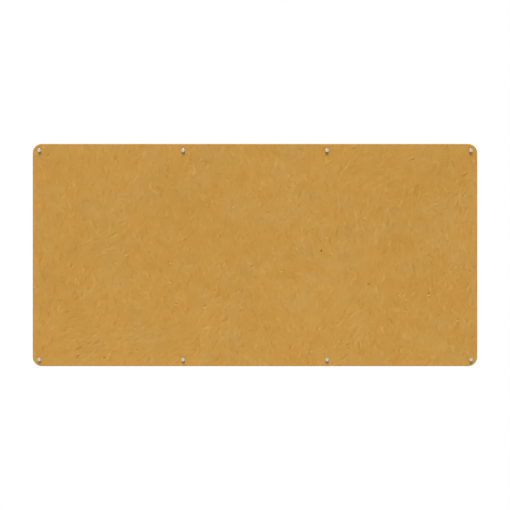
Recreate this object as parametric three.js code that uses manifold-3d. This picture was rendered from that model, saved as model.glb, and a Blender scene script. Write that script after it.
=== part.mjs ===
// Frameless felt pinboard, held to a wall by eight capped screw fixings.
//
// Millimetres. +Z is up, +X is right seen from the front, and the front faces -Y. The origin is
// the middle of the board's back face, which lies on the wall. Every turned piece is drawn as
// pairs of a radius and a reach, where reach is the distance out from the wall along -Y, so what
// sits inside the wall has a negative reach.

import * as THREE from 'three';
import { mergeVertices } from 'three/addons/utils/BufferGeometryUtils.js';
import Module from 'manifold-3d';

// Board
const boardWidth = 1200;
const boardHeight = 600;
const boardThickness = 12;
const cornerRadius = 25;

// Layout of the fixings: two rows, each from one end of the board to the other
const fixingInset = 18;
const fixingsPerRow = 4;

// Fits
const turnedClearance = 0.3;
const boardHoleClearance = 0.4;
const cutOverrun = 1;

// Seat washer, which takes the screw's head
const washerDiameter = 9;
const washerThickness = 2.2;
const washerChamfer = 0.3;
const washerFootLand = 0.3;

// Screw with a tapped head
const screwLength = 40;
const screwHeadDiameter = 7;
const screwHeadLand = 0.5;
const screwShankDiameter = 4.2;
const screwRootDiameter = 2.8;
const screwThreadPitch = 2.8;
const screwPointLength = 4.5;
const driverSlotWidth = 1.2;
const driverSlotDepth = 1;
const tappedHoleDepth = 5;

// Low domed cap with a threaded stud
const capDiameter = 9.5;
const capHeight = 2.2;
const capSkirtHeight = 0.9;
const capFootChamfer = 0.3;
const studDiameter = 2.4;
const studLength = 4;
const studChamfer = 0.3;

// Wall plug
const plugDiameter = 8;
const plugLength = 30;
const plugSetback = 2.5;
const plugMouthLength = 7;
const plugRibDepth = 0.6;
const plugRibs = 4;
const plugSlitWidth = 1;
const plugNoseTaper = 1.2;
const plugEndWall = 2;

// Facets
const cornerFacets = 8;
const capSides = 20;
const domeSteps = 4;
const washerSides = 20;
const screwSides = 12;
const plugSides = 12;

const feltMaterial = new THREE.MeshStandardMaterial({ color: '#c4944a', roughness: 0.95, metalness: 0 });
const nickelMaterial = new THREE.MeshStandardMaterial({ color: '#c4c2bc', roughness: 0.3, metalness: 1 });
const zincMaterial = new THREE.MeshStandardMaterial({ color: '#b9bcc0', roughness: 0.4, metalness: 1 });
const nylonMaterial = new THREE.MeshStandardMaterial({ color: '#d8d5cc', roughness: 0.6, metalness: 0 });

const manifold = await Module();
manifold.setup();

// A closed three.js geometry as a solid that can be cut, with its shared vertices merged.
function solidFrom(geometry) {
  const bare = geometry.clone();
  bare.deleteAttribute('normal');
  bare.deleteAttribute('uv');
  const merged = mergeVertices(bare);
  const triangles = [];
  for (let i = 0; i < merged.index.count; i += 3) {
    const [a, b, c] = [merged.index.getX(i), merged.index.getX(i + 1), merged.index.getX(i + 2)];
    if (a !== b && b !== c && c !== a) triangles.push(a, b, c);
  }
  return new manifold.Manifold(new manifold.Mesh({
    numProp: 3,
    vertProperties: Float32Array.from(merged.attributes.position.array),
    triVerts: Uint32Array.from(triangles),
  }));
}

function geometryFrom(solid) {
  const mesh = solid.getMesh();
  const geometry = new THREE.BufferGeometry();
  const vertices = Float32Array.from(mesh.vertProperties);
  geometry.setAttribute('position', new THREE.BufferAttribute(vertices, mesh.numProp));
  geometry.setIndex(Array.from(mesh.triVerts));
  geometry.computeVertexNormals();
  return geometry;
}

// Turns an outline of [radius, reach] pairs, given from the wall side outwards, about the Y axis.
function turn(outline, sides) {
  const points = outline.map(([radius, reach]) => new THREE.Vector2(radius, -reach));
  return new THREE.LatheGeometry(points.reverse(), sides);
}

// A bar along X, centred on the Y axis, between two reaches.
function crossBar(length, width, lowReach, highReach) {
  const bar = new THREE.BoxGeometry(length, highReach - lowReach, width);
  bar.translate(0, -(highReach + lowReach) / 2, 0);
  return bar;
}

// Where the fixings stand

const fixingPitch = (boardWidth - 2 * fixingInset) / (fixingsPerRow - 1);
const rowHeights = { top: boardHeight / 2 - fixingInset, bottom: fixingInset - boardHeight / 2 };

function fixingPlaces() {
  const places = [];
  for (const [row, z] of Object.entries(rowHeights)) {
    for (let i = 0; i < fixingsPerRow; i += 1) {
      const x = fixingInset - boardWidth / 2 + i * fixingPitch;
      places.push({ label: `${row}_${i + 1}`, x, z });
    }
  }
  return places;
}

// Reaches that the stacked pieces share

const washerTop = boardThickness + washerThickness;
const screwHeadTop = washerTop - turnedClearance;
const shankRadius = screwShankDiameter / 2;
const headRadius = screwHeadDiameter / 2;
const screwNeck = screwHeadTop - screwHeadLand - (headRadius - shankRadius);
const studRadius = studDiameter / 2;

// Felt board: one slab with round corners and a clearance hole for each screw. It is drawn as a
// border that holds the screws round one plain field, so that the field's facets reach no hole.
function boardGeometry() {
  const halfWidth = boardWidth / 2;
  const halfHeight = boardHeight / 2;
  const border = new THREE.Shape();
  const corners = [
    [halfWidth - cornerRadius, halfHeight - cornerRadius, 0],
    [cornerRadius - halfWidth, halfHeight - cornerRadius, 1],
    [cornerRadius - halfWidth, cornerRadius - halfHeight, 2],
    [halfWidth - cornerRadius, cornerRadius - halfHeight, 3],
  ];
  for (const [x, z, quarter] of corners) {
    border.absarc(x, z, cornerRadius, quarter * Math.PI / 2, (quarter + 1) * Math.PI / 2);
  }
  border.closePath();
  const holeRadius = shankRadius + boardHoleClearance;
  for (const { x, z } of fixingPlaces()) {
    border.holes.push(new THREE.Path().absarc(x, z, holeRadius, 0, 2 * Math.PI));
  }

  const fieldX = halfWidth - 2 * fixingInset;
  const fieldZ = halfHeight - 2 * fixingInset;
  const field = [[fieldX, fieldZ], [-fieldX, fieldZ], [-fieldX, -fieldZ], [fieldX, -fieldZ]];
  const fieldCorners = field.map(([x, z]) => new THREE.Vector2(x, z));
  border.holes.push(new THREE.Path(fieldCorners));

  const depthways = { depth: boardThickness, bevelEnabled: false, curveSegments: cornerFacets };
  const [borderSlab, fieldSlab] = [border, new THREE.Shape(fieldCorners)].map((shape) => (
    solidFrom(new THREE.ExtrudeGeometry(shape, depthways).rotateX(Math.PI / 2))
  ));
  return geometryFrom(borderSlab.add(fieldSlab));
}

// Seat washer: flat foot on the felt, chamfered rim and a countersink that clears the screw's head.
function washerGeometry() {
  const outer = washerDiameter / 2;
  const mouth = headRadius + turnedClearance;
  const sinkFoot = Math.max(boardThickness + washerFootLand, screwNeck);
  const bore = shankRadius + turnedClearance + sinkFoot - screwNeck;
  const sinkTop = sinkFoot + mouth - bore;
  const outline = [
    [bore, boardThickness],
    [outer, boardThickness],
    [outer, washerTop - washerChamfer],
    [outer - washerChamfer, washerTop],
    [mouth, washerTop],
    [mouth, sinkTop],
    [bore, sinkFoot],
    [bore, boardThickness],
  ];
  return turn(outline, washerSides);
}

// Screw: tapped and slotted countersunk head, plain shank through the board, helical thread and
// point. The thread's crest and root are two lines of points that wind down the shank together.
function screwGeometry() {
  const rootRadius = screwRootDiameter / 2;
  const tip = screwHeadTop - screwLength;
  const threadFoot = tip + screwPointLength;
  const turns = Math.floor(-threadFoot / screwThreadPitch);
  const threadTop = threadFoot + turns * screwThreadPitch;
  const steps = turns * screwSides;
  const positions = [];
  const triangles = [];

  function point(radius, reach, step) {
    const angle = 2 * Math.PI * step / screwSides;
    positions.push(radius * Math.sin(angle), -reach, radius * Math.cos(angle));
    return positions.length / 3 - 1;
  }
  function ring(radius, reach) {
    return Array.from({ length: screwSides }, (_, step) => point(radius, reach, step));
  }
  // Corners in order round the piece, then back one level nearer the tip.
  function quad(a, b, c, d) {
    triangles.push(a, b, c, a, c, d);
  }
  function join(upper, lower) {
    for (let i = 0; i < screwSides; i += 1) {
      const next = (i + 1) % screwSides;
      quad(upper[i], upper[next], lower[next], lower[i]);
    }
  }

  const holeRadius = studRadius + turnedClearance;
  const holeEnd = point(0, screwHeadTop - tappedHoleDepth, 0);
  const levels = [
    ring(holeRadius, screwHeadTop - tappedHoleDepth),
    ring(holeRadius, screwHeadTop),
    ring(headRadius, screwHeadTop),
    ring(headRadius, screwHeadTop - screwHeadLand),
    ring(shankRadius, screwNeck),
    ring(shankRadius, threadTop + screwThreadPitch / 2),
  ];
  for (let i = 0; i < screwSides; i += 1) {
    triangles.push(holeEnd, levels[0][(i + 1) % screwSides], levels[0][i]);
  }
  for (let i = 0; i + 1 < levels.length; i += 1) {
    join(levels[i], levels[i + 1]);
  }

  const crest = [];
  const root = [];
  for (let step = 0; step <= steps; step += 1) {
    const reach = threadTop - screwThreadPitch * step / screwSides;
    crest.push(point(shankRadius, reach, step));
    root.push(point(rootRadius, reach - screwThreadPitch / 2, step));
  }
  // The thread's start is a flat face, so the last facet above it has one corner more.
  const collar = levels[levels.length - 1];
  const last = screwSides - 1;
  for (let i = 0; i < last; i += 1) {
    quad(collar[i], collar[i + 1], crest[i + 1], crest[i]);
  }
  triangles.push(collar[last], collar[0], crest[0]);
  quad(collar[last], crest[0], crest[screwSides], crest[last]);
  triangles.push(crest[0], root[0], crest[screwSides]);
  for (let step = 0; step < steps; step += 1) {
    quad(crest[step], crest[step + 1], root[step + 1], root[step]);
    const below = step + screwSides;
    if (below < steps) quad(root[step], root[step + 1], crest[below + 1], crest[below]);
  }

  const lastTurn = steps - screwSides;
  const tipPoint = point(0, tip, 0);
  for (let step = lastTurn; step < steps; step += 1) {
    triangles.push(root[step], root[step + 1], tipPoint);
  }
  triangles.push(crest[steps], root[lastTurn], root[steps]);
  triangles.push(root[lastTurn], tipPoint, root[steps]);

  const body = new THREE.BufferGeometry();
  body.setAttribute('position', new THREE.Float32BufferAttribute(positions, 3));
  body.setIndex(triangles);
  const slotLength = screwHeadDiameter + 2 * cutOverrun;
  const slotFoot = screwHeadTop - driverSlotDepth;
  const slot = crossBar(slotLength, driverSlotWidth, slotFoot, screwHeadTop + cutOverrun);
  return geometryFrom(solidFrom(body).subtract(solidFrom(slot)));
}

// Cap: stud, flat foot that closes on the washer, short skirt and a low elliptical dome.
function capGeometry() {
  const radius = capDiameter / 2;
  const domeFoot = washerTop + capSkirtHeight;
  const domeHeight = capHeight - capSkirtHeight;
  const outline = [
    [0, washerTop - studLength],
    [studRadius - studChamfer, washerTop - studLength],
    [studRadius, washerTop - studLength + studChamfer],
    [studRadius, washerTop],
    [radius - capFootChamfer, washerTop],
    [radius, washerTop + capFootChamfer],
  ];
  for (let i = 0; i <= domeSteps; i += 1) {
    const angle = Math.PI / 2 * i / domeSteps;
    const ringRadius = i === domeSteps ? 0 : radius * Math.cos(angle);
    outline.push([ringRadius, domeFoot + domeHeight * Math.sin(angle)]);
  }
  return turn(outline, capSides);
}

// Wall plug, set back below the wall's surface: plain mouth, saw-tooth ribs, and a slit that lets
// its two legs spread.
function plugGeometry() {
  const outer = plugDiameter / 2;
  const bore = shankRadius + turnedClearance;
  const mouth = -plugSetback;
  const nose = mouth - plugLength;
  const ribFoot = mouth - plugMouthLength;
  const ribLength = (ribFoot - nose - plugNoseTaper) / plugRibs;
  const outline = [
    [0, nose],
    [outer - plugNoseTaper, nose],
  ];
  for (let i = plugRibs; i > 0; i -= 1) {
    outline.push([outer - plugRibDepth, ribFoot - i * ribLength]);
    outline.push([outer, ribFoot - (i - 1) * ribLength]);
  }
  outline.push([outer, mouth]);
  outline.push([bore, mouth]);
  outline.push([bore, nose + plugEndWall]);
  outline.push([0, nose + plugEndWall]);
  const body = turn(outline, plugSides);
  const slitLength = plugDiameter + 2 * cutOverrun;
  const slit = crossBar(slitLength, plugSlitWidth, nose + plugEndWall, ribFoot);
  return geometryFrom(solidFrom(body).subtract(solidFrom(slit)));
}

const pinboard = new THREE.Group();

function addPiece(parent, name, geometry, material) {
  const mesh = new THREE.Mesh(geometry, material);
  mesh.name = name;
  parent.add(mesh);
}

addPiece(pinboard, 'felt_board', boardGeometry(), feltMaterial);

const fixingPieces = [
  ['cap', capGeometry(), nickelMaterial],
  ['seat_washer', washerGeometry(), nickelMaterial],
  ['screw', screwGeometry(), zincMaterial],
  ['wall_plug', plugGeometry(), nylonMaterial],
];

for (const { label, x, z } of fixingPlaces()) {
  const fixing = new THREE.Group();
  fixing.position.set(x, 0, z);
  for (const [kind, geometry, material] of fixingPieces) {
    addPiece(fixing, `${kind}_${label}`, geometry, material);
  }
  pinboard.add(fixing);
}

export default pinboard;
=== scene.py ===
"""Felt pinboard held by eight capped wall fixings: surfaces, finishes, light and camera.

Metres, +Z up, +X right seen from the front, the front facing -Y, the origin in the middle of the back
face. Turned pieces are drawn as rings of a radius and a reach, the distance out from the wall along -Y.
"""

import math

import bpy
import numpy as np
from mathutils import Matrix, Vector


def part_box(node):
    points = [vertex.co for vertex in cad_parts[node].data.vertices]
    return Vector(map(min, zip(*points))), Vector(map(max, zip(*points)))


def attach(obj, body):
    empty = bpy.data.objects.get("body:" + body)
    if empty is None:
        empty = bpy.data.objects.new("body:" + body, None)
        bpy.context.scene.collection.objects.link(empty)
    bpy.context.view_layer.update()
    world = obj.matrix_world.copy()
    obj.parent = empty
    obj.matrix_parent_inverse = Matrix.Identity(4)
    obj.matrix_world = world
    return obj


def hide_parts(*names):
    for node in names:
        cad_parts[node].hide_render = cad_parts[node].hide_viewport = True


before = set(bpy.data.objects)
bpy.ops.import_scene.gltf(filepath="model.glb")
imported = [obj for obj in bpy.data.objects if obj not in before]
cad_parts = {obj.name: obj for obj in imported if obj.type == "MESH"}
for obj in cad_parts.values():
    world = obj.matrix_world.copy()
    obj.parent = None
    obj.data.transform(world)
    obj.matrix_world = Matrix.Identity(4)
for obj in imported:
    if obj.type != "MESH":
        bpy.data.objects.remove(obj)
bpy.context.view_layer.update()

MM = 0.001
SEED = 20417
rng = np.random.default_rng(SEED)

# The board and its fixings, from the frame

board_low, board_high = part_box("felt_board")
WIDTH, THICKNESS, HEIGHT = board_high - board_low
CORNER_RADIUS = 25 * MM
LABELS = sorted(name[len("cap_") :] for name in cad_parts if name.startswith("cap_"))


def fixing_place(label):
    low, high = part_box(f"cap_{label}")
    return Vector(((low.x + high.x) / 2, 0, (low.z + high.z) / 2))


def reach_span(node):
    """The least and greatest distance of a node out from the wall."""
    low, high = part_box(node)
    return -high.y, -low.y


def node_radius(node):
    """Half the width of a node that is round about the Y axis."""
    low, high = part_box(node)
    return (high.x - low.x) / 2


FIXINGS = {label: fixing_place(label) for label in LABELS}

# Camera, square on to the middle of the board

PHOTO_PIXELS = 510
BOARD_PIXELS = 444.6
CAMERA_DISTANCE = 2.05
SENSOR_WIDTH = 36


def add_camera():
    data = bpy.data.cameras.new("camera")
    camera = bpy.data.objects.new("camera", data)
    bpy.context.scene.collection.objects.link(camera)
    view_width = WIDTH * PHOTO_PIXELS / BOARD_PIXELS
    data.sensor_width = SENSOR_WIDTH
    data.lens = SENSOR_WIDTH * CAMERA_DISTANCE / view_width
    camera.location = (0, board_low.y - CAMERA_DISTANCE, 0)
    camera.rotation_euler = (math.radians(90), 0, 0)
    bpy.context.scene.camera = camera


# Material building

# Spans of a noise's values, the first wider than the second, over which the finishes go from end to end
NOISE_SPAN = (0.3, 0.7)
NARROW_NOISE_SPAN = (0.35, 0.65)
# A Mix node has a set of sockets for each type of value: these are its colour inputs and its colour result
MIX_COLOUR_INPUTS = (6, 7)
MIX_COLOUR_RESULT = 2


def put(tree, socket, value):
    """Links the socket to another node's result, or sets a plain value on it."""
    if isinstance(value, bpy.types.NodeSocket):
        tree.links.new(value, socket)
    else:
        socket.default_value = value


def math_node(tree, operation, *values, clamp=False):
    node = tree.nodes.new("ShaderNodeMath")
    node.operation = operation
    node.use_clamp = clamp
    for socket, value in zip(node.inputs, values):
        put(tree, socket, value)
    return node.outputs[0]


class Finish:
    """A node material, with short calls for the nodes that the finishes below share."""

    def __init__(self, name):
        self.material = bpy.data.materials.new(name)
        self.material.use_nodes = True
        self.tree = self.material.node_tree
        self.shader = self.tree.nodes["Principled BSDF"]
        self.places = self.add("ShaderNodeTexCoord").outputs["Object"]

    def add(self, kind, **settings):
        node = self.tree.nodes.new(kind)
        for key, value in settings.items():
            setattr(node, key, value)
        return node

    def put(self, socket, value):
        put(self.tree, socket, value)

    def math(self, operation, *values, clamp=False):
        return math_node(self.tree, operation, *values, clamp=clamp)

    def stretched(self, scale, turn=(0, 0, 0), places=None):
        """The object's own coordinates, turned and then stretched."""
        node = self.add("ShaderNodeMapping", vector_type="TEXTURE")
        self.put(node.inputs["Vector"], places or self.places)
        node.inputs["Rotation"].default_value = [math.radians(angle) for angle in turn]
        node.inputs["Scale"].default_value = scale
        return node.outputs[0]

    def noise(self, places, scale=1.0, detail=2.0, roughness=0.5):
        node = self.add("ShaderNodeTexNoise")
        self.put(node.inputs["Vector"], places)
        node.inputs["Scale"].default_value = scale
        node.inputs["Detail"].default_value = detail
        node.inputs["Roughness"].default_value = roughness
        return node.outputs["Fac"]

    def rescaled(self, value, span, new_span):
        """The value moved from one span of low and high to the other, and held within it."""
        node = self.add("ShaderNodeMapRange")
        for socket, number in zip(node.inputs, (value, *span, *new_span)):
            self.put(socket, number)
        return node.outputs[0]

    def ramp(self, value, stops):
        """A colour ramp. Its first two stops are moved to their places and the others are added."""
        node = self.add("ShaderNodeValToRGB")
        self.put(node.inputs["Fac"], value)
        ramp = node.color_ramp
        for i, (place, colour) in enumerate(stops):
            stop = ramp.elements[i] if i < 2 else ramp.elements.new(place)
            stop.position = place
            stop.color = (*colour, 1)
        return node.outputs["Color"]

    def shaded(self, noise, dark, light):
        """From dark to light by a noise."""
        low, high = NOISE_SPAN
        return self.ramp(noise, ((low, dark), (high, light)))

    def tinted(self, colour, tint):
        node = self.add("ShaderNodeMix", data_type="RGBA", blend_type="MULTIPLY")
        node.inputs[0].default_value = 1
        for number, value in zip(MIX_COLOUR_INPUTS, (colour, tint)):
            self.put(node.inputs[number], value)
        return node.outputs[MIX_COLOUR_RESULT]

    def bump(self, height, distance, strength=1.0, normal=None):
        node = self.add("ShaderNodeBump")
        self.put(node.inputs["Height"], height)
        node.inputs["Distance"].default_value = distance
        node.inputs["Strength"].default_value = strength
        if normal:
            self.put(node.inputs["Normal"], normal)
        return node.outputs["Normal"]

    def set(self, **values):
        """Puts values on the shader's sockets: base_color is Base Color, and so on."""
        for key, value in values.items():
            name = key.replace("_", " ").title().replace("Ior", "IOR")
            self.put(self.shader.inputs[name], value)
        return self.material


FELT_DARK = (0.412, 0.193, 0.034)
FELT_MIDDLE = (0.569, 0.300, 0.059)
FELT_LIGHT = (0.711, 0.412, 0.120)
FELT_STOPS = ((0.0, FELT_DARK), (1.0, FELT_LIGHT), (0.5, FELT_MIDDLE))
FELT_SHEEN = (0.90, 0.58, 0.22)
FELT_ROUGHNESS = (0.86, 0.98)
FELT_BEND = 6 * MM
FELT_BEND_SCALE = 110
# Crossing fine fibres: the turn of each layer in degrees, and the width and length of its fibres
FIBRE_LAYERS = (
    (6, 0.50 * MM, 9.0 * MM),
    (-27, 0.42 * MM, 7.5 * MM),
    (38, 0.46 * MM, 7.0 * MM),
    (81, 0.55 * MM, 6.5 * MM),
)
RIDGE_SHARPNESS = 11.0
FELT_GRAIN = 0.35 * MM
FELT_CLOUD_SCALE = 26
# What each adds to the felt's shade, where 0 is dark and 1 is light
LEAST_SHADE = 0.28
FIBRE_SHADE = 0.26
GRAIN_SHADE = 0.22
CLOUD_SHADE = 0.06
# Slow drifts of hue: the scale of each noise, and half the span of its values that goes from tint to tint
HUE_DRIFTS = ((6.5, 0.15), (24, 0.12))
ORANGE_TINT = (1.007, 0.990, 0.955)
YELLOW_TINT = (0.993, 1.010, 1.070)
FELT_BUMP = 0.10 * MM
FELT_BUMP_STRENGTH = 0.7
GRAIN_BUMP_SHARE = 0.5


def bent_places(felt):
    """The object's own coordinates, bent so that no fibre runs straight."""
    warp = felt.add("ShaderNodeTexNoise")
    felt.put(warp.inputs["Vector"], felt.places)
    warp.inputs["Scale"].default_value = FELT_BEND_SCALE
    warp.inputs["Detail"].default_value = 1
    bent = felt.add("ShaderNodeVectorMath", operation="MULTIPLY_ADD")
    felt.put(bent.inputs[0], warp.outputs["Color"])
    bent.inputs[1].default_value = (FELT_BEND, FELT_BEND, FELT_BEND)
    felt.put(bent.inputs[2], felt.places)
    return bent.outputs[0]


def crossing_fibres(felt, places):
    """Thin ridges, each where a long narrow noise passes its middle value."""
    fibres = 0.0
    for turn, across, along in FIBRE_LAYERS:
        wave = felt.noise(felt.stretched((across, across, along), (0, turn, 0), places), detail=0.0)
        slope = felt.math("MULTIPLY_ADD", wave, RIDGE_SHARPNESS, -RIDGE_SHARPNESS / 2)
        ridge = felt.math("SUBTRACT", 1.0, felt.math("ABSOLUTE", slope))
        fibres = felt.math("MAXIMUM", fibres, ridge)
    return fibres


def felt_finish():
    """Pressed felt: crossing fine fibres, broad mottling, and the lie of the fibres from the mesh, whose
    stored tone is partly painted light and shade beside the strokes.
    """
    felt = Finish("felt")
    bent = bent_places(felt)
    fibres = crossing_fibres(felt, bent)
    grain = felt.noise(felt.stretched((FELT_GRAIN, FELT_GRAIN, FELT_GRAIN), places=bent), detail=2.0)
    cloudy = felt.noise(bent, scale=FELT_CLOUD_SCALE, detail=3.0, roughness=0.6)
    # The mesh's tone: the felt's own mottling, with painted light and shade beside its strokes
    tone = felt.add("ShaderNodeAttribute", attribute_name="tone").outputs["Fac"]

    shade = felt.math("MULTIPLY_ADD", fibres, FIBRE_SHADE, LEAST_SHADE)
    shade = felt.math("MULTIPLY_ADD", grain, GRAIN_SHADE, shade)
    shade = felt.math("MULTIPLY_ADD", felt.math("SUBTRACT", cloudy, 0.5), CLOUD_SHADE, shade)
    shade = felt.math("ADD", tone, shade, clamp=True)
    colour = felt.ramp(shade, FELT_STOPS)
    for scale, half_span in HUE_DRIFTS:
        drift = felt.noise(felt.places, scale=scale, detail=2.0)
        tint = felt.ramp(drift, ((0.5 - half_span, ORANGE_TINT), (0.5 + half_span, YELLOW_TINT)))
        colour = felt.tinted(colour, tint)

    relief = felt.math("MULTIPLY_ADD", grain, GRAIN_BUMP_SHARE, fibres)
    return felt.set(
        base_color=colour,
        roughness=felt.rescaled(grain, NOISE_SPAN, FELT_ROUGHNESS),
        specular_ior_level=0.15,
        sheen_weight=0.12,
        sheen_roughness=0.45,
        sheen_tint=(*FELT_SHEEN, 1),
        normal=felt.bump(relief, FELT_BUMP, FELT_BUMP_STRENGTH),
    )


FIBRE_ROUGHNESS = (0.7, 0.9)
FIBRE_MOTTLE_SCALE = 900
FIBRE_MOTTLE_SHADE = 0.25
FIBRE_BUMP = 0.03 * MM


def fibre_finish():
    """Single fibres: the felt's colours, from dark to light by each fibre's own tone."""
    fibre = Finish("felt_fibre")
    tone = fibre.add("ShaderNodeAttribute", attribute_name="tone").outputs["Fac"]
    mottle = fibre.noise(fibre.places, scale=FIBRE_MOTTLE_SCALE, detail=1.0)
    uneven = fibre.math("SUBTRACT", mottle, 0.5)
    shade = fibre.math("MULTIPLY_ADD", uneven, FIBRE_MOTTLE_SHADE, tone, clamp=True)
    return fibre.set(
        base_color=fibre.ramp(shade, FELT_STOPS),
        roughness=fibre.rescaled(mottle, NOISE_SPAN, FIBRE_ROUGHNESS),
        specular_ior_level=0.25,
        sheen_weight=0.1,
        sheen_tint=(*FELT_SHEEN, 1),
        normal=fibre.bump(mottle, FIBRE_BUMP),
    )


NICKEL_DARK = (0.53, 0.52, 0.484)
NICKEL_LIGHT = (0.60, 0.59, 0.554)
NICKEL_ROUGHNESS = (0.18, 0.26)
NICKEL_RING_PITCH = 0.12 * MM
ZINC_DARK = (0.44, 0.46, 0.48)
ZINC_LIGHT = (0.60, 0.61, 0.62)
ZINC_ROUGHNESS = (0.30, 0.46)
ZINC_RING_PITCH = 0.2 * MM
RING_DISTORTION = 0.6
BLOTCH_SCALE = 260
SCUFF_SIZE = (0.12 * MM, 0.12 * MM, 2.5 * MM)
SCUFF_TURN = (0, 37, 0)
# How much of the metal's shade, and of its gloss, comes from the blotches. The rest comes from the scuffs.
SHADE_BLOTCH_SHARE = 0.65
GLOSS_BLOTCH_SHARE = 0.6
RING_BUMP = 0.004 * MM
RING_BUMP_STRENGTH = 0.5
SCUFF_BUMP = 0.006 * MM
SCUFF_BUMP_STRENGTH = 0.4


def metal_finish(name, dark, light, roughness, ring_pitch):
    """Plated metal: fine turning marks round the axis, soft blotches and a slightly uneven gloss. A ring
    wave of scale 1 has a pitch of pi / 10."""
    metal = Finish(name)
    rings = metal.add("ShaderNodeTexWave", wave_type="RINGS", rings_direction="Y")
    metal.put(rings.inputs["Vector"], metal.places)
    rings.inputs["Scale"].default_value = math.pi / (10 * ring_pitch)
    rings.inputs["Distortion"].default_value = RING_DISTORTION
    blotch = metal.noise(metal.places, scale=BLOTCH_SCALE, detail=3.0)
    scuff = metal.noise(metal.stretched(SCUFF_SIZE, SCUFF_TURN), detail=1.0)

    def mixed(blotch_share):
        scuffs = metal.math("MULTIPLY", scuff, 1 - blotch_share)
        return metal.math("MULTIPLY_ADD", blotch, blotch_share, scuffs)

    normal = metal.bump(rings.outputs["Fac"], RING_BUMP, RING_BUMP_STRENGTH)
    return metal.set(
        base_color=metal.shaded(mixed(SHADE_BLOTCH_SHARE), dark, light),
        metallic=1.0,
        roughness=metal.rescaled(mixed(GLOSS_BLOTCH_SHARE), NARROW_NOISE_SPAN, roughness),
        normal=metal.bump(scuff, SCUFF_BUMP, SCUFF_BUMP_STRENGTH, normal),
    )


NYLON_DARK = (0.60, 0.58, 0.53)
NYLON_LIGHT = (0.76, 0.75, 0.70)
NYLON_ROUGHNESS = (0.42, 0.58)
NYLON_GLOW_DEPTH = 0.8 * MM
FLOW_SIZE = (1.2 * MM, 9 * MM, 1.2 * MM)
SPARK_SCALE = 4200
SPARK_BUMP = 0.01 * MM
SPARK_BUMP_STRENGTH = 0.5


def nylon_finish():
    """Moulded nylon: milky, with faint flow marks along the piece and a fine sparked texture."""
    nylon = Finish("nylon")
    flow = nylon.noise(nylon.stretched(FLOW_SIZE), detail=3.0)
    spark = nylon.noise(nylon.places, scale=SPARK_SCALE, detail=1.0)
    return nylon.set(
        base_color=nylon.shaded(flow, NYLON_DARK, NYLON_LIGHT),
        roughness=nylon.rescaled(flow, NARROW_NOISE_SPAN, NYLON_ROUGHNESS),
        subsurface_weight=0.15,
        subsurface_scale=NYLON_GLOW_DEPTH,
        normal=nylon.bump(spark, SPARK_BUMP, SPARK_BUMP_STRENGTH),
    )


# Placing pieces


def add_piece(mesh, finish, body, nodes=(), place=(0, 0, 0)):
    piece = bpy.data.objects.new(mesh.name, mesh)
    bpy.context.scene.collection.objects.link(piece)
    piece.location = place
    mesh.materials.append(finish)
    bpy.context.view_layer.update()
    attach(piece, body)
    if nodes:
        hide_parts(*nodes)
    return piece


def mesh_from(name, points, faces):
    mesh = bpy.data.meshes.new(name)
    mesh.from_pydata([tuple(p) for p in points], [], faces)
    mesh.validate()
    mesh.shade_smooth()
    return mesh


def set_tone(mesh, tone):
    """Stores each point's tone, which the felt's finishes read."""
    values = mesh.attributes.new("tone", "FLOAT", "POINT").data
    values.foreach_set("value", tone.astype(np.float32))


def cut_away(piece, cutter_mesh):
    """Cuts cutter_mesh, in the piece's own coordinates, out of the piece."""
    cutter = bpy.data.objects.new("cutter", cutter_mesh)
    bpy.context.scene.collection.objects.link(cutter)
    cutter.matrix_world = piece.matrix_world
    cut = piece.modifiers.new("cut", "BOOLEAN")
    cut.operation = "DIFFERENCE"
    cut.solver = "MANIFOLD"
    cut.object = cutter
    graph = bpy.context.evaluated_depsgraph_get()
    graph.update()
    result = bpy.data.meshes.new_from_object(piece.evaluated_get(graph), depsgraph=graph)
    piece.modifiers.remove(cut)
    old = piece.data
    piece.data = result
    bpy.data.meshes.remove(old)
    bpy.data.objects.remove(cutter)
    bpy.data.meshes.remove(cutter_mesh)


# The lie of the felt: one grid of cells over the board that the relief and the loose fibres share

CELL = 1.2 * MM
GRID = (round(WIDTH / CELL), round(HEIGHT / CELL))
LEAN_WAVELENGTH = 150 * MM
LEAN_ANGLE = 0.18
LEAN_MIDDLE = -0.06
# Patches where the fibres lie across the board: middle and half-size as shares of its size, and turn
ACROSS_PATCH_SHARES = (
    (-0.38, -0.36, 0.12, 0.14, 1.35),
    (-0.18, -0.40, 0.09, 0.09, 1.20),
    (-0.36, 0.04, 0.06, 0.07, 1.10),
    (0.26, 0.36, 0.08, 0.12, 1.25),
    (0.12, -0.06, 0.06, 0.06, -1.00),
)


def blurred(field, spread):
    """The field over the grid blurred by a bell curve of that spread."""
    across = np.fft.fftfreq(GRID[0])[:, None]
    up = np.fft.rfftfreq(GRID[1])[None, :]
    bell = np.exp(-2 * (math.pi * np.hypot(across, up) * spread / CELL) ** 2)
    return np.fft.irfft2(np.fft.rfft2(field) * bell, GRID)


def smooth_noise(wavelength):
    """Noise over the grid with features of about that size, of zero mean and unit spread."""
    field = blurred(rng.standard_normal(GRID), wavelength / 4)
    return (field - field.mean()) / field.std()


def fibre_direction():
    """The angle of the fibres from upright at each cell."""
    x = (np.arange(GRID[0])[:, None] + 0.5) / GRID[0] - 0.5
    z = (np.arange(GRID[1])[None, :] + 0.5) / GRID[1] - 0.5
    angle = LEAN_MIDDLE + LEAN_ANGLE * smooth_noise(LEAN_WAVELENGTH)
    for middle_x, middle_z, half_x, half_z, turn in ACROSS_PATCH_SHARES:
        patch = np.exp(-(((x - middle_x) / half_x) ** 2) - ((z - middle_z) / half_z) ** 2)
        angle += turn * patch
    return angle


DIRECTION = fibre_direction()


def cells(x, z):
    """The grid cells of places on the board."""
    i = np.clip(((x / WIDTH + 0.5) * GRID[0]).astype(int), 0, GRID[0] - 1)
    j = np.clip(((z / HEIGHT + 0.5) * GRID[1]).astype(int), 0, GRID[1] - 1)
    return i, j


STROKE_POINTS = 24
STROKE_OFFSET = 4.2 * MM
STROKE_LENGTH_SHAPE = 5
STROKE_END_SHARE = 0.9
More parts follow.
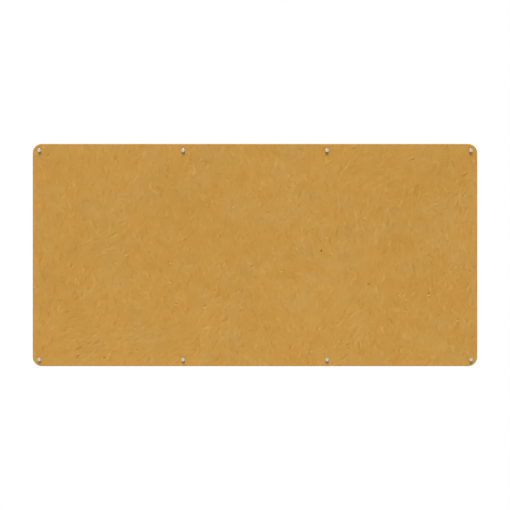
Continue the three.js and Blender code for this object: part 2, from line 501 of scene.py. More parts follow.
# Strokes are dark from here to 0 and light from 0 to 1
DARK_END = -0.85
PARTNER_STRENGTH = (0.1, 1.0)
# The degrees of freedom of how much strokes and fibres bend: most bend a little and a few bend a lot
BEND_TAIL = 3
CLUSTER_WAVELENGTH = 110 * MM
CLUSTER_WEIGHT = 0.16
CLUSTER_LIMITS = (0.3, 2)
CLUSTERS = smooth_noise(CLUSTER_WAVELENGTH)


def drawn_strokes(count, length, spread, stray, curl, pairing, unevenness):
    """A field of short curved tufts that follow the fibres, each light or dark, with a weaker opposite one
    beside it.
    Its values have a spread of 1. In the felt's colour, the opposite one is painted shade beside a light tuft
    and painted light beside a dark one. The dark tufts are partly painted shade of the gaps between fibres."""
    x = rng.uniform(-WIDTH / 2, WIDTH / 2, count)
    z = rng.uniform(-HEIGHT / 2, HEIGHT / 2, count)
    lengths = rng.gamma(STROKE_LENGTH_SHAPE, length / STROKE_LENGTH_SHAPE, count)
    strength = rng.lognormal(0, unevenness, count) * np.sign(rng.uniform(DARK_END, 1, count))
    strength *= np.clip(1 + CLUSTER_WEIGHT * CLUSTERS[cells(x, z)], *CLUSTER_LIMITS)
    angle = DIRECTION[cells(x, z)] + rng.normal(0, stray, count)
    bend = rng.standard_t(BEND_TAIL, count) * curl
    side = np.sign(rng.uniform(-1, 1, count)) * STROKE_OFFSET
    partner = -rng.uniform(*PARTNER_STRENGTH, count) * pairing
    field = np.zeros(GRID)
    for share in np.linspace(-0.5, 0.5, STROKE_POINTS):
        heading = angle + bend * share * lengths
        weight = strength * math.cos(math.pi * share * STROKE_END_SHARE) * lengths
        at_x = x + share * lengths * np.sin(angle + bend * share * lengths / 2)
        at_z = z + share * lengths * np.cos(angle + bend * share * lengths / 2)
        np.add.at(field, cells(at_x, at_z), weight)
        beside = cells(at_x + side * np.cos(heading), at_z - side * np.sin(heading))
        np.add.at(field, beside, weight * partner)
    field = blurred(field, spread)
    return field / field.std()


TUFTS = drawn_strokes(
    4000, length=16 * MM, spread=1.9 * MM, stray=0.42, curl=27, pairing=0.8, unevenness=0.35
)
SPECKS = drawn_strokes(
    700, length=3 * MM, spread=1.0 * MM, stray=1.5, curl=0, pairing=1.0, unevenness=0.7
)
WISPS = drawn_strokes(
    6000, length=11 * MM, spread=1.5 * MM, stray=0.8, curl=30, pairing=0.4, unevenness=0.35
)
CLOUD_WAVELENGTH = 34 * MM
CLOUDS = smooth_noise(CLOUD_WAVELENGTH)
PATCH_WAVELENGTH = 150 * MM
PATCHES = smooth_noise(PATCH_WAVELENGTH)
UPRIGHT = np.cos(DIRECTION) ** 2

# How high each field stands, in millimetres, and how much it lightens the felt, for one spread of it
TUFT_RELIEF = 0.034
UPRIGHT_TUFT_RELIEF = 0.042
SPECK_RELIEF = 0.050
WISP_RELIEF = 0.012
CLOUD_RELIEF = 0.050
# The tones of the tufts, specks and wisps are partly the felt's own lighter and darker fibres and partly
# painted light and shade beside their relief. The clouds and patches are the felt's own mottling.
TUFT_TONE_AND_SHADE = 0.045
SPECK_TONE_AND_SHADE = 0.024
WISP_TONE_AND_SHADE = 0.006
CLOUD_TONE = 0.021
PATCH_TONE = 0.019


def felt_relief():
    """The relief over the grid, in metres."""
    tufts = (TUFT_RELIEF + UPRIGHT_TUFT_RELIEF * UPRIGHT) * TUFTS
    return (tufts + SPECK_RELIEF * SPECKS + WISP_RELIEF * WISPS + CLOUD_RELIEF * CLOUDS) * MM


# The felt's colour field: strokes that are partly painted light and shade beside their relief, and broad
# mottling of its own
def felt_tone_and_shade():
    strokes = TUFT_TONE_AND_SHADE * TUFTS + SPECK_TONE_AND_SHADE * SPECKS + WISP_TONE_AND_SHADE * WISPS
    return strokes + CLOUD_TONE * CLOUDS + PATCH_TONE * PATCHES


RELIEF = felt_relief()
FELT_TONE_AND_SHADE = felt_tone_and_shade()


def fade(distance, low, high):
    """From 0 at low to 1 at high, smoothly."""
    share = np.clip((distance - low) / (high - low), 0, 1)
    return share * share * (3 - 2 * share)


# How far before the end of the grid its last place is, so that it still has a next cell
LAST_PLACE = 1.001


def sampled(field, x, z):
    """The field at places on the board, in metres, between its cells."""
    u = np.clip((np.asarray(x) / WIDTH + 0.5) * GRID[0] - 0.5, 0, GRID[0] - LAST_PLACE)
    v = np.clip((np.asarray(z) / HEIGHT + 0.5) * GRID[1] - 0.5, 0, GRID[1] - LAST_PLACE)
    i, j = u.astype(int), v.astype(int)
    s, t = u - i, v - j
    low = field[i, j] * (1 - s) + field[i + 1, j] * s
    high = field[i, j + 1] * (1 - s) + field[i + 1, j + 1] * s
    return low * (1 - t) + high * t


# The felt board

LOFT = 0.25 * MM
PRESSED_RADIUS = 5.2 * MM
PRESSED_EDGE = 12 * MM
EDGE_ROUND = 0.7 * MM
EDGE_ROUND_ANGLES = (30, 60, 90)
EDGE_WOBBLE = 0.06 * MM
RAGGED_SIZE = 3 * MM
RAGGED_SHIFT = 37
FRONT_STEP = 2.4 * MM
BACK_RELIEF_SHARE = 0.15
WALL_BANDS = 6
HOLE_RADIUS = 2.5 * MM
HOLE_SIDES = 40
DRILL_OVERRUN = 2 * MM


def front_height(x, z):
    """How far the felt stands out from its flat front: lofted, uneven, and pressed flat round each washer."""
    nearest = np.full(np.shape(x), np.inf)
    for place in FIXINGS.values():
        nearest = np.minimum(nearest, np.hypot(x - place.x, z - place.z))
    free = fade(nearest, PRESSED_RADIUS, PRESSED_EDGE)
    return free * (LOFT + sampled(RELIEF, x, z))


def rounded_place(u, v, inset):
    """The place at shares u and v, from -1 to 1, of a rectangle with round corners, inset from the
    board's outline."""
    radius = CORNER_RADIUS - inset
    x, z = u * (WIDTH / 2 - inset), v * (HEIGHT / 2 - inset)
    corner_x, corner_z = WIDTH / 2 - CORNER_RADIUS, HEIGHT / 2 - CORNER_RADIUS
    s = np.maximum(np.abs(x) - corner_x, 0) / radius
    t = np.maximum(np.abs(z) - corner_z, 0) / radius
    round_x = corner_x + radius * s * np.sqrt(1 - t * t / 2)
    round_z = corner_z + radius * t * np.sqrt(1 - s * s / 2)
    in_corner = (s > 0) & (t > 0)
    x = np.where(in_corner, np.sign(x) * round_x, x)
    z = np.where(in_corner, np.sign(z) * round_z, z)
    return x, z


def rim(columns, rows):
    """Grid positions round the outside of a grid, anticlockwise seen from the front."""
    across = [(i, 0) for i in range(columns)] + [(columns, j) for j in range(rows)]
    back = [(i, rows) for i in range(columns, 0, -1)] + [(0, j) for j in range(rows, 0, -1)]
    return across + back


def board_face(points, faces, columns, rows, front):
    """Adds the front or the back to the points and faces, and returns the numbers of its rim's points."""
    u, v = np.meshgrid(np.linspace(-1, 1, columns + 1), np.linspace(-1, 1, rows + 1), indexing="ij")
    x, z = rounded_place(u, v, EDGE_ROUND)
    y = -THICKNESS - front_height(x, z) if front else -BACK_RELIEF_SHARE * sampled(RELIEF, -x, z)
    start = len(points)
    points.extend(np.stack([x, y, z], -1).reshape(-1, 3))
    number = start + np.arange((columns + 1) * (rows + 1)).reshape(columns + 1, rows + 1)
    corners = [number[:-1, :-1], number[1:, :-1], number[1:, 1:], number[:-1, 1:]]
    quads = np.stack(corners if front else corners[::-1], -1).reshape(-1, 4)
    faces.extend(quads.tolist())
    return [int(number[place]) for place in rim(columns, rows)]


def edge_bands():
    """Rings round the cut edge, from front to back: inset, depth and share of the front's swell."""
    rounds = []
    for angle in EDGE_ROUND_ANGLES:
        turn = math.radians(angle)
        inset, depth = EDGE_ROUND * (1 - math.sin(turn)), EDGE_ROUND * (1 - math.cos(turn))
        rounds.append((inset, depth, math.cos(turn)))
    bands = [(inset, THICKNESS - depth, share) for inset, depth, share in rounds]
    for k in range(1, WALL_BANDS):
        bands.append((0, THICKNESS - EDGE_ROUND - k * (THICKNESS - 2 * EDGE_ROUND) / WALL_BANDS, 0))
    return bands + [(inset, depth, 0) for inset, depth, _ in reversed(rounds)]


def edge_rings(points, columns, rows, swell):
    """Adds the slightly ragged cut edge to the points, and returns the numbers of each ring's points."""
    outline = np.array(rim(columns, rows), float)
    u, v = 2 * outline[:, 0] / columns - 1, 2 * outline[:, 1] / rows - 1
    ragged = smooth_noise(RAGGED_SIZE).ravel()[: len(u)]
    rings = []
    for number, (inset, depth, share) in enumerate(edge_bands()):
        wobble = EDGE_WOBBLE * np.roll(ragged, RAGGED_SHIFT * number)
        x, z = rounded_place(u, v, inset)
        length = np.hypot(x, z)
        x, z = x + wobble * x / length, z + wobble * z / length
        start = len(points)
        points.extend(np.stack([x, -depth - share * swell, z], -1))
        rings.append(list(range(start, start + len(u))))
    return rings


def board_mesh():
    """Front grid, rounded and slightly ragged cut edge, and a back grid of half the fineness."""
    columns, rows = 2 * round(WIDTH / FRONT_STEP / 2), 2 * round(HEIGHT / FRONT_STEP / 2)
    points, faces = [], []
    front_rim = board_face(points, faces, columns, rows, True)
    back_rim = board_face(points, faces, columns // 2, rows // 2, False)
    swell = np.abs(np.array([points[i][1] for i in front_rim])) - THICKNESS
    rings = [front_rim] + edge_rings(points, columns, rows, swell)

    around = len(front_rim)
    for ring, next_ring in zip(rings, rings[1:]):
        for k in range(around):
            after = (k + 1) % around
            faces.append([ring[after], ring[k], next_ring[k], next_ring[after]])
    for k in range(0, around, 2):
        a, b, c = (rings[-1][(k + n) % around] for n in range(3))
        d, e = back_rim[k // 2], back_rim[(k // 2 + 1) % (around // 2)]
        faces.extend([[b, a, d], [b, d, e], [c, b, e]])

    mesh = mesh_from("felt_panel", points, faces)
    x, _, z = np.array(points).T
    # The felt's tone, which holds painted light and shade beside its strokes
    set_tone(mesh, sampled(FELT_TONE_AND_SHADE, x, z))
    return mesh


def hole_cutters():
    """One drill for each screw, through the whole board."""
    points, faces = [], []
    angles = np.arange(HOLE_SIDES) * 2 * math.pi / HOLE_SIDES
    for place in FIXINGS.values():
        start = len(points)
        for y in (DRILL_OVERRUN, -THICKNESS - DRILL_OVERRUN):
            for angle in angles:
                x = place.x + HOLE_RADIUS * math.sin(angle)
                z = place.z + HOLE_RADIUS * math.cos(angle)
                points.append((x, y, z))
        for k in range(HOLE_SIDES):
            after = (k + 1) % HOLE_SIDES
            faces.append([start + k, start + after, start + HOLE_SIDES + after, start + HOLE_SIDES + k])
        faces.append([start + k for k in reversed(range(HOLE_SIDES))])
        faces.append([start + HOLE_SIDES + k for k in range(HOLE_SIDES)])
    mesh = bpy.data.meshes.new("drills")
    mesh.from_pydata(points, [], faces)
    return mesh


# Loose fibres: fine tapered hairs that lie along the felt and fray from its cut edge

FRONT_FIBRES = 5300
BACK_FIBRES = 900
EDGE_FIBRES = 2600
FIBRE_POINTS = 7
FIBRE_SIDES = 3
FIBRE_TIP_TURN = 0.12
# In millimetres
FIBRE_RADIUS = (0.04, 0.10)
FIBRE_TONE = 0.72
FIBRE_TONE_SPREAD = 0.2
# The bake map: how far the sides keep from their cell's left and right, and the share that each end takes
SIDE_MARGIN = 0.06
END_SHARE = 0.2


def fibre_map(count, length):
    """Places on a bake map for the corners of fibre_tubes' faces: a square cell for each fibre, its
    sides side by side up the cell, with an end at its foot and one at its top."""
    cells_across = math.ceil(math.sqrt(count))
    fibre = np.arange(count)
    cell = np.stack([fibre % cells_across, fibre // cells_across], -1)
    side = np.arange(FIBRE_SIDES)[None, None, :, None] + np.array([0, 1, 1, 0])
    step = np.arange(length - 1)[None, :, None, None] + np.array([0, 0, 1, 1])
    across = SIDE_MARGIN + (1 - 2 * SIDE_MARGIN) * side / FIBRE_SIDES
    along = END_SHARE + (1 - 2 * END_SHARE) * step / (length - 1)
    shape = (count, length - 1, FIBRE_SIDES, 4)
    sides = np.stack([np.broadcast_to(across, shape), np.broadcast_to(along, shape)], -1)
    sides = sides + cell[:, None, None, None]
    foot = [(SIDE_MARGIN, SIDE_MARGIN), (1 - SIDE_MARGIN, SIDE_MARGIN), (0.5, END_SHARE - SIDE_MARGIN)]
    foot = np.array(foot)
    ends = np.concatenate([foot + cell[:, None], 1 - foot + cell[:, None]])
    return np.concatenate([sides.reshape(-1, 2), ends.reshape(-1, 2)]) / cells_across


def fibre_tubes(name, paths, sideways, outward, radius, tone):
    """Closed thin tubes along paths of shape (fibres, points, 3), with each fibre's own radius and tone."""
    count, length = paths.shape[:2]
    taper = np.sin(np.linspace(FIBRE_TIP_TURN, math.pi - FIBRE_TIP_TURN, length)) ** 0.5
    angles = np.arange(FIBRE_SIDES) * 2 * math.pi / FIBRE_SIDES
    ring = np.cos(angles)[:, None] * sideways[:, :, None, :]
    ring = ring + np.sin(angles)[:, None] * outward[:, :, None, :]
    points = paths[:, :, None, :] + radius[:, None, None, None] * taper[:, None, None] * ring
    number = np.arange(count * length * FIBRE_SIDES).reshape(count, length, FIBRE_SIDES)
    after = np.roll(number, -1, axis=2)
    quads = np.stack([number[:, :-1], after[:, :-1], after[:, 1:], number[:, 1:]], -1).reshape(-1, 4)
    ends = np.concatenate([number[:, 0, ::-1], number[:, -1]]).reshape(-1, FIBRE_SIDES)
    mesh = mesh_from(name, points.reshape(-1, 3), quads.tolist() + ends.tolist())
    bake_map = mesh.uv_layers.new(name="OFBake")
    bake_map.uv.foreach_set("vector", fibre_map(count, length).ravel().astype(np.float32))
    set_tone(mesh, np.repeat(tone, length * FIBRE_SIDES))
    return mesh


def corner_distance(x, z):
    """How far a place is beyond the straight lines through the corners' middles: CORNER_RADIUS on the
    outline."""
    beyond_x = np.maximum(np.abs(x) - WIDTH / 2 + CORNER_RADIUS, 0)
    beyond_z = np.maximum(np.abs(z) - HEIGHT / 2 + CORNER_RADIUS, 0)
    return np.hypot(beyond_x, beyond_z)


LYING_INSET = 4 * MM
LYING_MARGIN = 1 * MM
LYING_LENGTH_SHAPE = 4.0
LYING_LENGTH_SCALE = 3.2 * MM
LYING_STRAY = 0.6
LYING_CURL = 0.10
LYING_CURL_STEP = 1.6
# In millimetres
LYING_RISE = (0.12, 0.3)
LYING_SINK = 0.10 * MM


def lying_paths(count, height, facing):
    """Paths that follow the lie of the felt at random places, sunk at their ends. facing is -1 for the
    front."""
    x = rng.uniform(LYING_INSET - WIDTH / 2, WIDTH / 2 - LYING_INSET, count)
    z = rng.uniform(LYING_INSET - HEIGHT / 2, HEIGHT / 2 - LYING_INSET, count)
    free = corner_distance(x, z) < CORNER_RADIUS - LYING_INSET
    for place in FIXINGS.values():
        free &= np.hypot(x - place.x, z - place.z) > 2 * PRESSED_RADIUS
    x, z = x[free], z[free]
    count = len(x)
    length = rng.gamma(LYING_LENGTH_SHAPE, LYING_LENGTH_SCALE, count)
    stray = rng.normal(0, LYING_STRAY, count)
    curl = rng.standard_t(BEND_TAIL, count) * LYING_CURL
    step = length / (FIBRE_POINTS - 1)
    path = np.zeros((count, FIBRE_POINTS, 3))
    heading = np.zeros((count, FIBRE_POINTS))
    farthest_x, farthest_z = WIDTH / 2 - LYING_MARGIN, HEIGHT / 2 - LYING_MARGIN
    for k in range(FIBRE_POINTS):
        angle = DIRECTION[cells(x, z)] + stray + curl * k * LYING_CURL_STEP
        heading[:, k] = angle
        path[:, k, 0], path[:, k, 2] = x, z
        x = np.clip(x + step * np.sin(angle), -farthest_x, farthest_x)
        z = np.clip(z + step * np.cos(angle), -farthest_z, farthest_z)
    bow = np.sin(np.linspace(0, math.pi, FIBRE_POINTS))
    rise = bow * rng.uniform(*LYING_RISE, (count, 1)) * MM - LYING_SINK
    base = height(path[:, :, 0], path[:, :, 2])
    path[:, :, 1] = facing * (base + rise)
    sideways = np.stack([np.cos(heading), np.zeros_like(heading), -np.sin(heading)], -1)
    outward = np.zeros_like(sideways)
    outward[:, :, 1] = facing
    inside = corner_distance(path[:, :, 0], path[:, :, 2]).max(1) < CORNER_RADIUS - LYING_MARGIN
    return path[inside], -facing * sideways[inside], outward[inside]


EDGE_MARGIN = 0.6 * MM
EDGE_REACH_SHAPE = 3.0
EDGE_REACH_SCALE = 0.13 * MM
EDGE_BOW_TURNS = (0.55, 1.0)
EDGE_SINK = 0.15 * MM
EDGE_RUN = 2.2 * MM
EDGE_DROP = 0.8 * MM
EDGE_STEP_SHARE = 0.002
LEAST_LENGTH = 1e-9


def edge_places(count):
    """Places anywhere round the board's outline, and the direction along it at each."""
    spread = rng.uniform(0, 1, count)
    long_side = spread < WIDTH / (WIDTH + HEIGHT)
    u = np.where(long_side, rng.uniform(-1, 1, count), np.sign(rng.uniform(-1, 1, count)))
    v = np.where(long_side, np.sign(rng.uniform(-1, 1, count)), rng.uniform(-1, 1, count))
    x, z = rounded_place(u, v, 0)
    ahead_u = np.where(long_side, np.clip(u + EDGE_STEP_SHARE, -1, 1), u)
    ahead_v = np.where(long_side, v, np.clip(v + EDGE_STEP_SHARE, -1, 1))
    ahead_x, ahead_z = rounded_place(ahead_u, ahead_v, 0)
    along = np.stack([ahead_x - x, ahead_z - z], -1)
    along /= np.maximum(np.linalg.norm(along, axis=1, keepdims=True), LEAST_LENGTH)
    return x, z, along


def edge_paths(count):
    """Short hairs that bow out from the cut edge, anywhere round the board."""
    x, z, along = edge_places(count)
    out = np.stack([along[:, 1], -along[:, 0]], -1)
    out *= np.sign((out * np.stack([x, z], -1)).sum(1, keepdims=True))
    y = -rng.uniform(EDGE_MARGIN, THICKNESS - EDGE_MARGIN, count)
    share = np.linspace(0, 1, FIBRE_POINTS)
    reach = rng.gamma(EDGE_REACH_SHAPE, EDGE_REACH_SCALE, (count, 1))
    bow = np.sin(share * math.pi * rng.uniform(*EDGE_BOW_TURNS, (count, 1))) * reach - EDGE_SINK
    run = share * rng.normal(0, EDGE_RUN, (count, 1))
    drop = share * rng.normal(0, EDGE_DROP, (count, 1))
    path_x = x[:, None] + out[:, :1] * bow + along[:, :1] * run
    path_z = z[:, None] + out[:, 1:] * bow + along[:, 1:] * run
    path = np.stack([path_x, y[:, None] + drop, path_z], -1)
    outward = np.stack([out[:, 0], np.zeros(count), out[:, 1]], -1)
    outward = np.repeat(outward[:, None], FIBRE_POINTS, 1)
    sideways = np.zeros_like(outward)
    sideways[:, :, 1] = 1
    return path, sideways, outward


def add_fibres(finish):
    def front(x, z):
        return THICKNESS + front_height(x, z)

    def back(x, z):
        return 0 * x

    for name, (path, sideways, outward) in (
        ("front_fibres", lying_paths(FRONT_FIBRES, front, -1)),
        ("back_fibres", lying_paths(BACK_FIBRES, back, 1)),
        ("edge_fibres", edge_paths(EDGE_FIBRES)),
    ):
        count = len(path)
        radius = rng.uniform(*FIBRE_RADIUS, count) * MM
        tone = np.clip(rng.normal(FIBRE_TONE, FIBRE_TONE_SPREAD, count), 0, 1)
        add_piece(fibre_tubes(name, path, sideways, outward, radius, tone), finish, "board")


# Turned pieces

FINE_SIDES = 72
THREAD_SIDES = 40
THREAD_ROWS_PER_TURN = 10
THREAD_CREST_SHARE = 0.2


def turned_mesh(name, rings, sides, crease=32):
    """A closed mesh of rings about the Y axis, wall side first. A ring is a radius, or one for each side,
    and a reach. An end ring of no radius is a point on the axis, and without such ends the last ring joins
    the first."""
    angles = np.arange(sides) * 2 * math.pi / sides
    points, loops, faces = [], [], []
    for radius, reach in rings:
        start = len(points)
        if np.ndim(radius) == 0 and radius == 0:
            points.append((0, -reach, 0))
            loops.append([start])
            continue
        radius = np.broadcast_to(radius, sides)
        points.extend(zip(radius * np.sin(angles), np.full(sides, -reach), radius * np.cos(angles)))
        loops.append(list(range(start, start + sides)))
    if len(loops[0]) > 1:
        loops.append(loops[0])
    for low, high in zip(loops, loops[1:]):
        for k in range(sides):
            after = (k + 1) % sides
            if len(low) == 1:
                faces.append([low[0], high[after], high[k]])
            elif len(high) == 1:
                faces.append([low[k], low[after], high[0]])
            else:
                faces.append([low[k], low[after], high[after], high[k]])
    mesh = mesh_from(name, points, faces)
    mesh.set_sharp_from_angle(angle=math.radians(crease))
    return mesh


def arc(middle, radius, start, end, steps):
    """Rings along a round corner: middle is a radius and a reach, and angles are in degrees from straight
    out sideways."""
    turns = np.radians(np.linspace(start, end, steps + 1))
    return [(middle[0] + radius * math.cos(turn), middle[1] + radius * math.sin(turn)) for turn in turns]


def tooth_shares(reach, pitch, sides):
    """How far up the tooth of a right-hand V thread with a flat crest the surface is at each side, from
    0 to 1."""
    phase = (reach / pitch + np.arange(sides) / sides) % 1
    flank = (1 - THREAD_CREST_SHARE) / 2
    return np.clip((0.5 - np.abs(phase - 0.5)) / flank, 0, 1)


def thread_rings(low, high, root, crest, pitch, fade_in, sides):
    """Rings of a thread from one reach to another, which rises from the root over fade_in at the outer
    end."""
    rows = max(2, round((high - low) / pitch * THREAD_ROWS_PER_TURN))
    rings = []
    for reach in np.linspace(low, high, rows + 1):
        depth = (crest - root) * float(np.clip((high - reach) / fade_in, 0, 1))
        rings.append((root + depth * tooth_shares(reach, pitch, sides), reach))
    return rings


CAP_SKIRT = 0.9 * MM
CAP_FOOT_ROUND = 0.3 * MM
DOME_STEPS = 20
STUD_RADIUS = 1.2 * MM
STUD_ROOT = 1.0 * MM
STUD_TIP_SHARE = 0.8
STUD_PITCH = 0.5 * MM
STUD_LENGTH = 4 * MM
STUD_CHAMFER = 0.2 * MM
STUD_RELIEF = 0.4 * MM
STUD_FADE = 0.5 * MM


def cap_mesh(label):
    """Domed cap: threaded stud, relieved foot, short skirt and a smooth dome."""
    stud_end, top = reach_span(f"cap_{label}")
    foot = stud_end + STUD_LENGTH
    radius = node_radius(f"cap_{label}")
    thread = (stud_end + STUD_CHAMFER, foot - STUD_RELIEF)
    rings = [(0, stud_end), (STUD_ROOT * STUD_TIP_SHARE, stud_end)]
    rings += thread_rings(*thread, STUD_ROOT, STUD_RADIUS, STUD_PITCH, STUD_FADE, FINE_SIDES)
    rings += [(STUD_ROOT, foot), (radius - CAP_FOOT_ROUND, foot)]
    rings += arc((radius - CAP_FOOT_ROUND, foot + CAP_FOOT_ROUND), CAP_FOOT_ROUND, -90, 0, 4)[1:]
    dome_foot = foot + CAP_SKIRT
    for k in range(DOME_STEPS):
        turn = math.pi / 2 * k / DOME_STEPS
        rings.append((radius * math.cos(turn), dome_foot + (top - dome_foot) * math.sin(turn)))
    rings.append((0, top))
    return turned_mesh(f"dome_cap_{label}", rings, FINE_SIDES)


WASHER_ROUND = 0.3 * MM
WASHER_BORE = 2.7 * MM
WASHER_FOOT_LAND = 0.3 * MM
WASHER_CHAMFER = 0.1 * MM
HEAD_CLEARANCE = 0.3 * MM
HEAD_LAND = 0.5 * MM


def washer_mesh(label):
    """Seat washer: flat foot, rounded rim and the countersink for the screw's head."""
    foot, top = reach_span(f"seat_washer_{label}")
    radius = node_radius(f"seat_washer_{label}")
    mouth = node_radius(f"screw_{label}") + HEAD_CLEARANCE
    sink_foot = foot + WASHER_FOOT_LAND
    foot_round = WASHER_ROUND / 2
    rings = [(WASHER_BORE, sink_foot), (WASHER_BORE, foot), (radius - foot_round, foot)]
    rings += arc((radius - foot_round, foot + foot_round), foot_round, -90, 0, 3)[1:]
    rings += arc((radius - WASHER_ROUND, top - WASHER_ROUND), WASHER_ROUND, 0, 90, 5)
    rings += [(mouth + WASHER_CHAMFER, top), (mouth, top - WASHER_CHAMFER)]
    rings.append((mouth, sink_foot + mouth - WASHER_BORE))
    return turned_mesh(f"seat_ring_{label}", rings, FINE_SIDES)


SHANK_RADIUS = 2.1 * MM
SHANK_RUNOUT = 0.8 * MM
THREAD_ROOT = 1.4 * MM
THREAD_PITCH = 2.8 * MM
POINT_LENGTH = 4.5 * MM
POINT_RINGS = 14
POINT_FIRST_SHARE = 0.12
POINT_LAST_SHARE = 0.94
HEAD_CHAMFER = 0.1 * MM
HEAD_TOP_CHAMFER = 0.12 * MM
TAPPED_RADIUS = 1.5 * MM
TAPPED_DEPTH = 5 * MM
TAPPED_CHAMFER = 0.15 * MM
TAPPED_CONE = 0.6 * MM
SLOT_WIDTH = 1.2 * MM
SLOT_DEPTH = 1.0 * MM


def screw_mesh(label):
    """Countersunk screw: gimlet point, deep wood thread, plain shank, and a head tapped for the cap's
    stud."""
    tip, top = reach_span(f"screw_{label}")
    head_radius = node_radius(f"screw_{label}")
    neck = top - HEAD_LAND - (head_radius - SHANK_RADIUS)
    depth = SHANK_RADIUS - THREAD_ROOT
    rings = [(0, tip)]
    for share in np.linspace(POINT_FIRST_SHARE, POINT_LAST_SHARE, POINT_RINGS):
        reach = tip + share * POINT_LENGTH
        tooth = tooth_shares(reach, THREAD_PITCH, THREAD_SIDES)
        rings.append((THREAD_ROOT * share + depth * share * tooth, reach))
    thread = (tip + POINT_LENGTH, THREAD_PITCH / 2)
    rings += thread_rings(*thread, THREAD_ROOT, SHANK_RADIUS, THREAD_PITCH, THREAD_PITCH, THREAD_SIDES)
    rings += [(SHANK_RADIUS, THREAD_PITCH / 2 + SHANK_RUNOUT), (SHANK_RADIUS, neck)]
    rings += [(head_radius - HEAD_CHAMFER, top - HEAD_LAND - HEAD_CHAMFER), (head_radius, top - HEAD_LAND)]
    rings += [(head_radius, top - HEAD_TOP_CHAMFER), (head_radius - HEAD_TOP_CHAMFER, top)]
    rings += [(TAPPED_RADIUS + TAPPED_CHAMFER, top), (TAPPED_RADIUS, top - TAPPED_CHAMFER)]
    rings += [(TAPPED_RADIUS, top - TAPPED_DEPTH + TAPPED_CONE), (0, top - TAPPED_DEPTH)]
    return turned_mesh(f"wood_screw_{label}", rings, THREAD_SIDES, crease=40)


def bar_mesh(half_length, half_width, low, high):
    """A bar along X across the axis, between two reaches."""
    points = []
    for x in (-half_length, half_length):
        for reach in (low, high):
            points += [(x, -reach, -half_width), (x, -reach, half_width)]
    faces = [[0, 1, 3, 2], [4, 6, 7, 5], [0, 4, 5, 1], [2, 3, 7, 6], [0, 2, 6, 4], [1, 5, 7, 3]]
    mesh = bpy.data.meshes.new("bar")
    mesh.from_pydata(points, [], [face[::-1] for face in faces])
    return mesh


PLUG_RIBS = 4
PLUG_RIB_DEPTH = 0.6 * MM
# A rib's soft crest: how far in from the plug's radius, and how far back from the rib's end
PLUG_CREST = ((0.12 * MM, 0.25 * MM), (0, 0.1 * MM), (0.05 * MM, 0))
PLUG_MOUTH_LENGTH = 7 * MM
PLUG_TAPER = 1.2 * MM
PLUG_CHAMFER = 0.3 * MM
PLUG_BORE = 2.4 * MM
PLUG_LEAD_WIDTH = 0.4 * MM
PLUG_LEAD_DEPTH = 0.8 * MM
PLUG_END_WALL = 2 * MM
PLUG_SLIT_WIDTH = 1 * MM


def plug_mesh(label):
    """Wall plug: blunt nose, saw-tooth ribs with softened crests, plain mouth and a blind bore."""
    nose, mouth = reach_span(f"wall_plug_{label}")
    low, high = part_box(f"wall_plug_{label}")
    radius = (high.z - low.z) / 2
    nose_radius = radius - PLUG_TAPER
    rib_foot = mouth - PLUG_MOUTH_LENGTH
    rib_length = (rib_foot - nose - PLUG_TAPER) / PLUG_RIBS
    rings = [(0, nose), (nose_radius - PLUG_CHAMFER, nose), (nose_radius, nose + PLUG_CHAMFER)]
    for k in range(PLUG_RIBS, 0, -1):
        start = rib_foot - k * rib_length
        rings.append((radius - PLUG_RIB_DEPTH, start))
        rings += [(radius - inset, start + rib_length - back) for inset, back in PLUG_CREST]
    rings += [(radius, rib_foot + PLUG_CHAMFER), (radius, mouth - PLUG_CHAMFER)]
    rings.append((radius - PLUG_CHAMFER, mouth))
    rings += [(PLUG_BORE + PLUG_LEAD_WIDTH, mouth), (PLUG_BORE, mouth - PLUG_LEAD_DEPTH)]
    rings += [(PLUG_BORE, nose + PLUG_END_WALL), (0, nose + PLUG_END_WALL)]
    return turned_mesh(f"nylon_plug_{label}", rings, FINE_SIDES)


def add_fixing(label, nickel, zinc, nylon):
    place = FIXINGS[label]
    add_piece(cap_mesh(label), nickel, f"cap_{label}", [f"cap_{label}"], place)
    add_piece(washer_mesh(label), nickel, "board", [f"seat_washer_{label}"], place)
    screw = add_piece(screw_mesh(label), zinc, "board", [f"screw_{label}"], place)
    top = reach_span(f"screw_{label}")[1]
    slot_span = (top - SLOT_DEPTH, top + SLOT_DEPTH)
    cut_away(screw, bar_mesh(2 * node_radius(f"screw_{label}"), SLOT_WIDTH / 2, *slot_span))
    plug = add_piece(plug_mesh(label), nylon, "board", [f"wall_plug_{label}"], place)
    nose, mouth = reach_span(f"wall_plug_{label}")
    slit_span = (nose + PLUG_END_WALL, mouth - PLUG_MOUTH_LENGTH)
    cut_away(plug, bar_mesh(2 * PLUG_BORE, PLUG_SLIT_WIDTH / 2, *slit_span))


# Light, floor and background

# Levels of soft light from straight above or below, from square on to the board's faces and from its sides
AMBIENT_EDGE_ON = 0.04
AMBIENT_FACING = 0.575
AMBIENT_SIDE = 0.45
# Shares of full light that the suns give the board's faces, and where the suns stand, in degrees
SUN_SHARE = 0.15
SOFT_SUN_SHARE = 0.342
SUN_HEIGHT = 70
SUN_SIDE = -11
SUN_SPREAD = 20
BACK_SHARE = 0.3
BACK_HEIGHT = 12
BACK_SIDE = 200
FLOOR_DROP = 2.4
FLOOR_HALF_WIDTH = 2.4
FLOOR_FRONT = 1.6
FLOOR_BACK = 2.2
FLOOR_COLOUR = (0.70, 0.70, 0.69)
FLOOR_MOTTLE_SHARE = 0.985
WHITE = (1, 1, 1, 1)


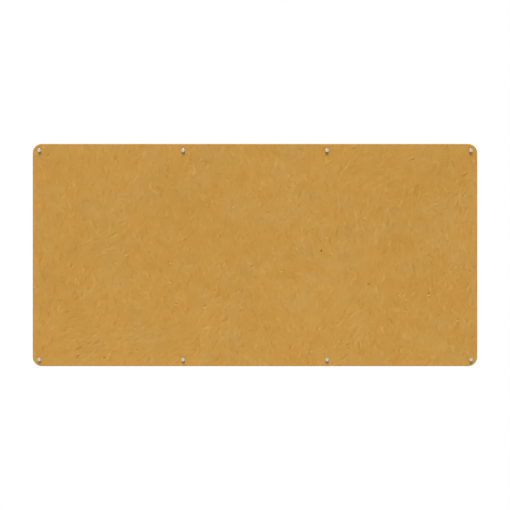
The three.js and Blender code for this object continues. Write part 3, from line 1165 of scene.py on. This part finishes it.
def add_sun(name, side, height, share, mirrored=True):
    """A sun that gives the board's broad face it shines on that share of full light. One that isn't
    mirrored lights the pieces but makes no glint, as a large diffuser does."""
    side, height = math.radians(side), math.radians(height)
    data = bpy.data.lights.new(name, "SUN")
    data.energy = share * math.pi / abs(math.cos(height) * math.cos(side))
    data.angle = math.radians(SUN_SPREAD)
    lamp = bpy.data.objects.new(name, data)
    lamp.visible_glossy = mirrored
    bpy.context.scene.collection.objects.link(lamp)
    level = math.cos(height)
    towards = Vector((math.sin(side) * level, -math.cos(side) * level, math.sin(height)))
    lamp.rotation_euler = towards.to_track_quat("Z", "Y").to_euler()


def add_lights():
    add_sun("key", SUN_SIDE, SUN_HEIGHT, SUN_SHARE)
    add_sun("soft_key", SUN_SIDE, SUN_HEIGHT, SOFT_SUN_SHARE, mirrored=False)
    add_sun("back_fill", BACK_SIDE, BACK_HEIGHT, BACK_SHARE)


def soft_light_strength(tree):
    """The world's strength by direction, from the squares of its parts along Y and X."""
    direction = tree.nodes.new("ShaderNodeTexCoord")
    parts = tree.nodes.new("ShaderNodeSeparateXYZ")
    tree.links.new(direction.outputs["Generated"], parts.inputs[0])
    strength = AMBIENT_EDGE_ON
    for axis, level in (("Y", AMBIENT_FACING), ("X", AMBIENT_SIDE)):
        square = math_node(tree, "MULTIPLY", parts.outputs[axis], parts.outputs[axis])
        strength = math_node(tree, "MULTIPLY_ADD", square, level - AMBIENT_EDGE_ON, strength)
    return strength


def add_world():
    """A soft light, strongest square on to the board's faces, less from its sides and least from above
    and below. The camera and reflections see plain white."""
    world = bpy.data.worlds.new("studio")
    bpy.context.scene.world = world
    world.use_nodes = True
    tree = world.node_tree
    light = tree.nodes["Background"]
    light.inputs["Color"].default_value = WHITE
    put(tree, light.inputs["Strength"], soft_light_strength(tree))
    white = tree.nodes.new("ShaderNodeBackground")
    white.inputs["Color"].default_value = WHITE
    path = tree.nodes.new("ShaderNodeLightPath")
    seen = path.outputs["Is Camera Ray"]
    for name in ("Is Glossy Ray", "Is Transmission Ray"):
        seen = math_node(tree, "MAXIMUM", seen, path.outputs[name])
    mix = tree.nodes.new("ShaderNodeMixShader")
    tree.links.new(seen, mix.inputs["Fac"])
    tree.links.new(light.outputs[0], mix.inputs[1])
    tree.links.new(white.outputs[0], mix.inputs[2])
    tree.links.new(mix.outputs[0], tree.nodes["World Output"].inputs["Surface"])


def floor_finish():
    """Pale matt paint, faintly mottled."""
    paint = Finish("floor_paint")
    mottle = paint.noise(paint.places, scale=3.0, detail=2.0)
    darker = [channel * FLOOR_MOTTLE_SHARE for channel in FLOOR_COLOUR]
    return paint.set(
        base_color=paint.shaded(mottle, darker, FLOOR_COLOUR),
        roughness=0.9,
        specular_ior_level=0.1,
    )


def add_floor():
    z = board_low.z - FLOOR_DROP
    corners = [
        (-FLOOR_HALF_WIDTH, -FLOOR_FRONT, z),
        (FLOOR_HALF_WIDTH, -FLOOR_FRONT, z),
        (FLOOR_HALF_WIDTH, FLOOR_BACK, z),
        (-FLOOR_HALF_WIDTH, FLOOR_BACK, z),
    ]
    mesh = bpy.data.meshes.new("floor")
    mesh.from_pydata(corners, [], [[0, 1, 2, 3]])
    mesh.materials.append(floor_finish())
    floor = bpy.data.objects.new("floor", mesh)
    bpy.context.scene.collection.objects.link(floor)


def build():
    bpy.context.scene.view_settings.view_transform = "Standard"
    add_camera()
    panel = add_piece(board_mesh(), felt_finish(), "board", ["felt_board"])
    cut_away(panel, hole_cutters())
    add_fibres(fibre_finish())
    nickel = metal_finish("satin_nickel", NICKEL_DARK, NICKEL_LIGHT, NICKEL_ROUGHNESS, NICKEL_RING_PITCH)
    zinc = metal_finish("zinc_plate", ZINC_DARK, ZINC_LIGHT, ZINC_ROUGHNESS, ZINC_RING_PITCH)
    nylon = nylon_finish()
    for label in LABELS:
        add_fixing(label, nickel, zinc, nylon)
    add_floor()
    add_world()
    add_lights()


build()
